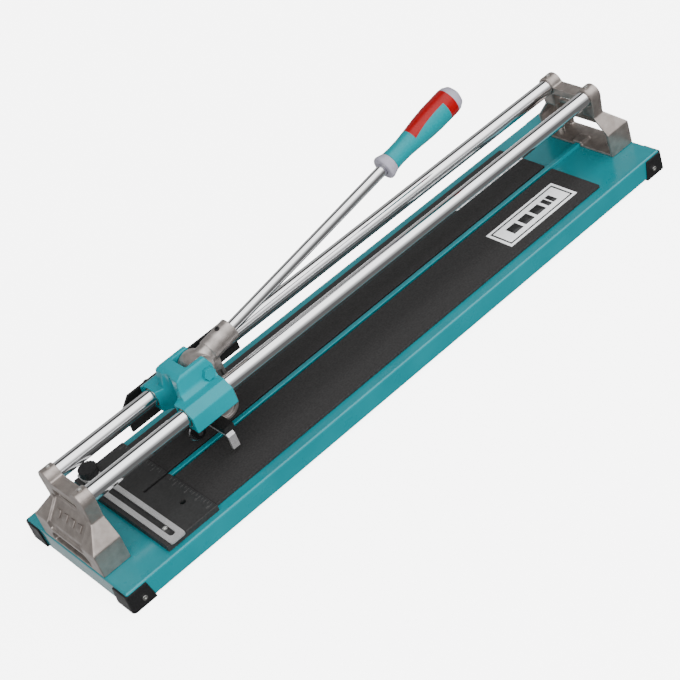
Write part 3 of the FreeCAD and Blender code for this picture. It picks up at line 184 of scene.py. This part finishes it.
FINISHES = {
    "painted_pan": teal_paint("painted_pan", tint(0.001, 0.135, 0.16),
                              tint(0.002, 0.155, 0.182), gloss=0.3, coat=0.8),
    "carriage_paint": teal_paint("carriage_paint", tint(0.001, 0.16, 0.19),
                                 tint(0.002, 0.19, 0.225), gloss=0.24, coat=0.15),
    "bracket_cast": cast_metal("bracket_cast", tint(0.26, 0.228, 0.21), tint(0.38, 0.34, 0.315),
                               0.36, 0.05 * MM),
    "lever_cast": cast_metal("lever_cast", tint(0.26, 0.235, 0.22), tint(0.44, 0.405, 0.385),
                             0.42, 0.09 * MM),
    "rail_chrome": drawn_metal("rail_chrome", tint(0.93, 0.93, 0.94), 0.06, (60, 1, 1), 0.003 * MM),
    "bright_screw": drawn_metal("bright_screw", tint(0.75, 0.75, 0.73), 0.22, (1, 1, 1), 0.01 * MM),
    "dark_screw": drawn_metal("dark_screw", tint(0.12, 0.12, 0.125), 0.35, (1, 1, 1), 0.01 * MM),
    "zinc": plated("zinc", tint(0.42, 0.42, 0.42), tint(0.62, 0.615, 0.62)),
    "bronze": drawn_metal("bronze", tint(0.55, 0.38, 0.18), 0.3, (1, 1, 1), 0.01 * MM),
    "wheel_carbide": drawn_metal("wheel_carbide", tint(0.45, 0.45, 0.46), 0.25, (1, 1, 1),
                                 0.01 * MM),
    "cap_rubber": moulded("cap_rubber", tint(0.006, 0.006, 0.006), tint(0.011, 0.011, 0.012), 0.45),
    "fence_black": moulded("fence_black", tint(0.016, 0.016, 0.016), tint(0.023, 0.023, 0.023),
                           0.42, 0.8 * MM, 0.05 * MM),
    "fence_mark": moulded("fence_mark", tint(0.05, 0.05, 0.05), tint(0.07, 0.07, 0.07), 0.4),
    "knob_plastic": moulded("knob_plastic", tint(0.007, 0.007, 0.008), tint(0.013, 0.013, 0.013),
                            0.4),
    "pad_foam": moulded("pad_foam", tint(0.013, 0.0125, 0.0125), tint(0.023, 0.022, 0.022), 0.75,
                        0.7 * MM, 0.09 * MM),
    "label_film": moulded("label_film", tint(0.8, 0.81, 0.82), tint(0.86, 0.87, 0.88), 0.3),
    "label_ink": moulded("label_ink", tint(0.012, 0.012, 0.013), tint(0.018, 0.018, 0.018), 0.4),
    "grip_teal": moulded("grip_teal", tint(0.001, 0.16, 0.185), tint(0.002, 0.19, 0.215), 0.34),
    "grip_red": moulded("grip_red", tint(0.2, 0.001, 0.002), tint(0.25, 0.001, 0.003), 0.3),
    "grip_pale": moulded("grip_pale", tint(0.24, 0.23, 0.28), tint(0.29, 0.28, 0.33), 0.36),
    "guard_black": moulded("guard_black", tint(0.008, 0.008, 0.008), tint(0.014, 0.014, 0.014),
                           0.4),
}

for node, finish in SLOT.items():
    NODES[node].data.materials.clear()
    NODES[node].data.materials.append(FINISHES[finish])


# Making pieces

def piece(name, mesh, body, finish, *nodes):
    """A finished mesh as a piece that rides on a body, in place of any CAD nodes."""
    data = bpy.data.meshes.new(name)
    for face in mesh.faces:
        face.smooth = True
    mesh.to_mesh(data)
    mesh.free()
    made = bpy.data.objects.new(name, data)
    bpy.context.scene.collection.objects.link(made)
    data.materials.append(FINISHES[finish])
    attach(made, body)
    if nodes:
        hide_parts(*nodes)
    return made


def cad_copy(node):
    """The CAD piece's own surface, its triangles joined up."""
    same_point = 0.001 * MM
    mesh = bmesh.new()
    mesh.from_mesh(NODES[node].data)
    bmesh.ops.remove_doubles(mesh, verts=mesh.verts, dist=same_point)
    return mesh


def block(mesh, low, high, turn=Matrix.Identity(4)):
    """Add a box between two corners, then turn it."""
    low, high = Vector(low), Vector(high)
    size = Matrix.Diagonal((*(high - low), 1))
    bmesh.ops.create_cube(mesh, size=1, matrix=turn @ Matrix.Translation((low + high) / 2) @ size)


def keep_flats(made):
    """Big flat faces stay flat and only the eased edges round off."""
    shading = made.modifiers.new("flats", "WEIGHTED_NORMAL")
    shading.keep_sharp = True
    shading.weight = 80


def eased(node, radius, segments=2, sharper=30):
    """The CAD piece with every edge that turns sharper than an angle in degrees eased."""
    flat = math.radians(0.5)
    mesh = cad_copy(node)
    bmesh.ops.dissolve_limit(mesh, angle_limit=flat, verts=mesh.verts, edges=mesh.edges)
    sharp = [edge for edge in mesh.edges
             if edge.is_manifold and edge.calc_face_angle() > math.radians(sharper)]
    bmesh.ops.bevel(mesh, geom=sharp, offset=radius, affect="EDGES", segments=segments,
                    profile=0.5, material=-1, clamp_overlap=True)
    made = piece(node + "_eased", mesh, BODY[node], SLOT[node], node)
    keep_flats(made)
    return made


def cast(node, grain, passes):
    """A casting: the CAD piece as one even skin, its corners rounded by smoothing."""
    mesh = cad_copy(node)
    rough = bpy.data.meshes.new(node + "_rough")
    mesh.to_mesh(rough)
    mesh.free()
    blank = bpy.data.objects.new(node + "_rough", rough)
    bpy.context.scene.collection.objects.link(blank)
    skin = blank.modifiers.new("skin", "REMESH")
    skin.mode = "VOXEL"
    skin.voxel_size = grain
    done = bpy.data.meshes.new_from_object(
        blank.evaluated_get(bpy.context.evaluated_depsgraph_get()))
    bpy.data.objects.remove(blank)
    mesh = bmesh.new()
    mesh.from_mesh(done)
    for _ in range(passes):
        bmesh.ops.smooth_vert(mesh, verts=mesh.verts, factor=0.5, use_axis_x=True,
                              use_axis_y=True, use_axis_z=True)
    piece(node + "_cast", mesh, BODY[node], SLOT[node], node)


# The castings

ROW_OF_FOUR = (-1.5, -0.5, 0.5, 1.5)


def panel_squares(label, end):
    """A row of small raised squares on a bracket's leaning outer panel."""
    inward, rise = 12.2 * MM, 40.2 * MM
    lean = math.atan2(18.5, 20.6)
    pitch, half_side, half_depth = 13 * MM, 4.2 * MM, 1.3 * MM
    low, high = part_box(label + "_bracket")
    outer = high[0] if end > 0 else low[0]
    middle = Vector((outer - end * inward, 0, low[2] + rise))
    turn = Matrix.Translation(middle) @ Matrix.Rotation(-end * lean, 4, "Y")
    mesh = bmesh.new()
    for step in ROW_OF_FOUR:
        across = step * pitch
        block(mesh, (-half_depth, across - half_side, -half_side),
              (half_depth, across + half_side, half_side), turn)
    bmesh.ops.bevel(mesh, geom=mesh.edges[:], offset=0.6 * MM, affect="EDGES", segments=2,
                    profile=0.5, material=-1)
    piece(label + "_bracket_squares", mesh, "frame", "bracket_cast")


cast("carriage_body", 0.7 * MM, 7)
cast("lever", 0.6 * MM, 4)
for label, end in (("fence", -1), ("far", 1)):
    cast(label + "_bracket", 0.9 * MM, 3)
    panel_squares(label, end)


# Sheet, plastic, rubber and screws

for node in ("corner_cap_fence_right", "corner_cap_fence_left", "corner_cap_far_right",
             "corner_cap_far_left"):
    eased(node, 0.7 * MM, 3)
eased("rail_knob", 0.35 * MM)
for node in ("breaker_foot", "side_guard", "foot_bar", "wheel_holder"):
    eased(node, 0.3 * MM)
for node in ("pivot_bolt", "pivot_nut", "cap_screws", "fence_screws", "bracket_bolts",
             "bracket_nuts", "guard_screws"):
    eased(node, 0.25 * MM)
for node in ("grip_collar", "grip_cap"):
    eased(node, 1.0 * MM, 4, 40)
for node in ("left_pad", "right_pad"):
    eased(node, 0.8 * MM, 3)


# The label's print and the fence's scale

def label_print():
    """A ruled frame and a row of plain tiles, one of them scored across."""
    margin, line = 3.5 * MM, 2.2 * MM
    tile, pitch = 15 * MM, 19 * MM
    score_start, score_end = 0.44 * tile, 0.56 * tile
    low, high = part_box("pad_label")
    middle = (Vector(low) + Vector(high)) / 2
    half_x, half_y = (high[0] - low[0]) / 2 - margin, (high[1] - low[1]) / 2 - margin
    under, over = high[2] - 0.01 * MM, high[2] + 0.05 * MM
    mesh = bmesh.new()

    def ink(left, right, front, back):
        block(mesh, (middle.x + left, middle.y + front, under),
              (middle.x + right, middle.y + back, over))

    ink(-half_x, half_x, -half_y, line - half_y)
    ink(-half_x, half_x, half_y - line, half_y)
    ink(-half_x, line - half_x, line - half_y, half_y - line)
    ink(half_x - line, half_x, line - half_y, half_y - line)
    for step in ROW_OF_FOUR:
        left = step * pitch - tile / 2
        if step == ROW_OF_FOUR[-1]:
            ink(left, left + score_start, -tile / 2, tile / 2)
            ink(left + score_end, left + tile, -tile / 2, tile / 2)
        else:
            ink(left, left + tile, -tile / 2, tile / 2)
    piece("label_print", mesh, "frame", "label_ink")


def fence_scale():
    """Raised ticks every 5 mm along the fence's working edge, with a number at each 20 mm."""
    tick_pitch, ticks_each_way, half_tick = 5 * MM, 16, 0.25 * MM
    long_tick, middle_tick, short_tick = 6 * MM, 4.5 * MM, 3 * MM
    number_pitch, number_size, number_set_back = 20 * MM, 6 * MM, 8 * MM
    clear_of_groove = 8 * MM
    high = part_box("fence")[1]
    edge, under, over = high[0] - 1.5 * MM, high[2] - 0.02 * MM, high[2] + 0.12 * MM
    mesh = bmesh.new()
    for step in range(-ticks_each_way, ticks_each_way + 1):
        along = step * tick_pitch
        reach = long_tick if step % 4 == 0 else middle_tick if step % 2 == 0 else short_tick
        if abs(along) > clear_of_groove:
            block(mesh, (edge - reach, along - half_tick, under), (edge, along + half_tick, over))
    for step in (-4, -3, -2, -1, 1, 2, 3, 4):
        text = bpy.data.curves.new("number", "FONT")
        text.body = str(abs(step) * 2)
        text.size = number_size
        text.align_x = "CENTER"
        blank = bpy.data.objects.new("number", text)
        bpy.context.scene.collection.objects.link(blank)
        drawn = bpy.data.meshes.new_from_object(
            blank.evaluated_get(bpy.context.evaluated_depsgraph_get()))
        bpy.data.objects.remove(blank)
        drawn.transform(Matrix.Translation((edge - number_set_back, step * number_pitch, over))
                        @ Matrix.Rotation(math.radians(-90), 4, "Z"))
        mesh.from_mesh(drawn)
    piece("fence_scale", mesh, "frame", "fence_mark")


label_print()
fence_scale()


# Camera, floor and light

def camera():
    """A long lens that looks down on the fence end from the right, tipped to one side."""
    place = Vector((-0.7491, -1.3108, 1.1575))
    tilt, roll, turn = (math.radians(angle) for angle in (51.027, 16.405, -41.726))
    data = bpy.data.cameras.new("camera")
    data.sensor_width = 36
    data.lens = 90.6
    made = bpy.data.objects.new("camera", data)
    bpy.context.scene.collection.objects.link(made)
    made.matrix_world = Matrix.LocRotScale(place, Euler((tilt, roll, turn)), None)
    bpy.context.scene.camera = made


def floor():
    """A pale floor that glows, and lends no light or reflection to the cutter."""
    half_width, glow = 6, 5
    mesh = bmesh.new()
    bmesh.ops.create_grid(mesh, x_segments=1, y_segments=1, size=half_width)
    data = bpy.data.meshes.new("floor")
    mesh.to_mesh(data)
    mesh.free()
    made = bpy.data.objects.new("floor", data)
    bpy.context.scene.collection.objects.link(made)
    finish = Finish("floor_pale", 0.9)
    finish.shader.inputs["Base Color"].default_value = tint(0.9, 0.9, 0.9)
    finish.shader.inputs["Emission Color"].default_value = tint(1, 1, 1)
    finish.shader.inputs["Emission Strength"].default_value = glow
    data.materials.append(finish.material)
    made.visible_diffuse = False
    made.visible_glossy = False


def softbox(name, place, aim, width, height, power):
    """A rectangular lamp, in watts, that doesn't show in reflections."""
    data = bpy.data.lights.new(name, "AREA")
    data.shape = "RECTANGLE"
    data.size, data.size_y, data.energy = width, height, power
    made = bpy.data.objects.new(name, data)
    made.visible_glossy = False
    bpy.context.scene.collection.objects.link(made)
    away = (Vector(place) - Vector(aim)).normalized()
    made.matrix_world = Matrix.LocRotScale(Vector(place), away.to_track_quat("Z", "Y"), None)


def world():
    """A studio sky that is bright overhead and in front, with a dark band behind for the rails."""
    brightness = 3
    # each stop is degrees from straight up, toward the front, and a share of the brightness
    stops = [(-180, 0.1), (-110, 0.3), (-90, 0.14), (-50, 0.16), (-42, 0.012), (-22, 0.012),
             (-10, 1.0), (40, 1.0), (64, 0.26), (92, 0.05), (180, 0.06)]
    made = bpy.data.worlds.new("studio")
    bpy.context.scene.world = made
    made.use_nodes = True
    tree = made.node_tree
    place = tree.nodes.new("ShaderNodeTexCoord")
    split = tree.nodes.new("ShaderNodeSeparateXYZ")
    front = tree.nodes.new("ShaderNodeMath")
    front.operation = "MULTIPLY"
    front.inputs[1].default_value = -1
    turn = tree.nodes.new("ShaderNodeMath")
    turn.operation = "ARCTAN2"
    share = tree.nodes.new("ShaderNodeMapRange")
    share.inputs["From Min"].default_value = -math.pi
    share.inputs["From Max"].default_value = math.pi
    ramp = tree.nodes.new("ShaderNodeValToRGB")
    for start, end in ((place.outputs["Generated"], split.inputs[0]),
                       (split.outputs["Y"], front.inputs[0]), (front.outputs[0], turn.inputs[0]),
                       (split.outputs["Z"], turn.inputs[1]),
                       (turn.outputs[0], share.inputs["Value"]),
                       (share.outputs[0], ramp.inputs[0]),
                       (ramp.outputs["Color"], tree.nodes["Background"].inputs["Color"])):
        tree.links.new(start, end)
    bands = ramp.color_ramp.elements
    while len(bands) < len(stops):
        bands.new(1.0)
    for band, (degrees, bright) in zip(bands, stops):
        band.position = (degrees + 180) / 360
        band.color = tint(bright, bright, bright)
    tree.nodes["Background"].inputs["Strength"].default_value = brightness


camera()
floor()
world()
softbox("key", place=(-0.4, -2.2, 0.5), aim=(0, 0, 0), width=1.6, height=1.0, power=80)
